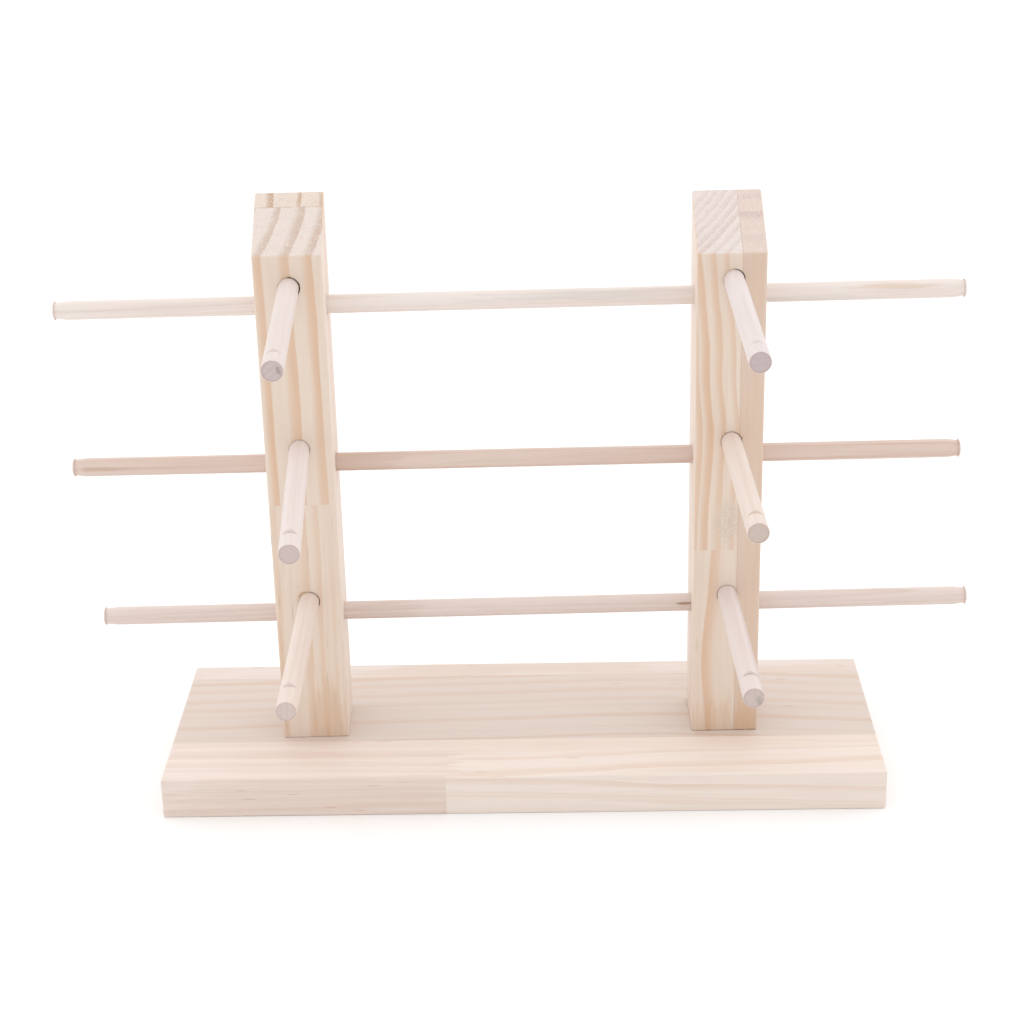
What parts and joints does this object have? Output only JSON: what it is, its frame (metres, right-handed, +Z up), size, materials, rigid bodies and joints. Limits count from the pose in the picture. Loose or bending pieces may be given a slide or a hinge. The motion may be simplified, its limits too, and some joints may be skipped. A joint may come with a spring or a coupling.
{
  "type": "eyewear display rack",
  "caption": "Bare pine tabletop rack: a glued board carries twin posts with dowel rails running through both and notched dowel pegs standing out in front.",
  "frame": {"origin": "centre of the board's underside", "axes": "+X to the right along the rails, +Y to the back, +Z up; the pegs point towards -Y"},
  "size_m": [0.3985, 0.1773, 0.2648],
  "materials": {
    "pine_board": "bare planed pine",
    "pine_post": "bare planed pine, sawn end grain",
    "rail_dowel": "bare sanded dowel",
    "peg_dowel": "bare sanded dowel",
    "screw_steel": "zinc plated"
  },
  "bodies": {
    "stand": {"base_back_stave": "pine_board", "base_middle_stave": "pine_board", "base_front_left_stave": "pine_board", "base_front_right_stave": "pine_board", "left_post_upper": "pine_post", "left_post_lower": "pine_post", "left_post_back_lamina": "pine_post", "right_post_upper": "pine_post", "right_post_lower": "pine_post", "right_post_side_stave": "pine_post", "left_post_screws": "screw_steel", "right_post_screws": "screw_steel"},
    "rail_bottom": {"rail_bottom": "rail_dowel"},
    "rail_middle": {"rail_middle": "rail_dowel"},
    "rail_top": {"rail_top": "rail_dowel"},
    "peg_left_bottom": {"peg_left_bottom": "peg_dowel"},
    "peg_left_middle": {"peg_left_middle": "peg_dowel"},
    "peg_left_top": {"peg_left_top": "peg_dowel"},
    "peg_right_bottom": {"peg_right_bottom": "peg_dowel"},
    "peg_right_middle": {"peg_right_middle": "peg_dowel"},
    "peg_right_top": {"peg_right_top": "peg_dowel"}
  },
  "joints": [
    {"name": "rail_bottom_slide", "type": "slide", "parent": "stand", "child": "rail_bottom", "axis": [0.9999, 0.007, 0.0081], "range_m": [-0.095, 0.08]},
    {"name": "rail_middle_slide", "type": "slide", "parent": "stand", "child": "rail_middle", "axis": [1, 0.007, 0.0043], "range_m": [-0.088, 0.087]},
    {"name": "rail_top_slide", "type": "slide", "parent": "stand", "child": "rail_top", "axis": [1, 0.007, 0.0064], "range_m": [-0.086, 0.088]},
    {"name": "peg_left_bottom_pull", "type": "slide", "parent": "stand", "child": "peg_left_bottom", "axis": [0.0105, -0.9999, 0.007], "range_m": [0, 0.018]},
    {"name": "peg_left_middle_pull", "type": "slide", "parent": "stand", "child": "peg_left_middle", "axis": [0.0628, -0.9976, -0.0297], "range_m": [0, 0.018]},
    {"name": "peg_left_top_pull", "type": "slide", "parent": "stand", "child": "peg_left_top", "axis": [0.0488, -0.9988, -0.0035], "range_m": [0, 0.018]},
    {"name": "peg_right_bottom_pull", "type": "slide", "parent": "stand", "child": "peg_right_bottom", "axis": [0.0227, -0.9992, 0.0314], "range_m": [0, 0.018]},
    {"name": "peg_right_middle_pull", "type": "slide", "parent": "stand", "child": "peg_right_middle", "axis": [0.0192, -0.9996, 0.0227], "range_m": [0, 0.018]},
    {"name": "peg_right_top_pull", "type": "slide", "parent": "stand", "child": "peg_right_top", "axis": [0.0122, -0.9999, -0.0052], "range_m": [0, 0.018]}
  ]
}
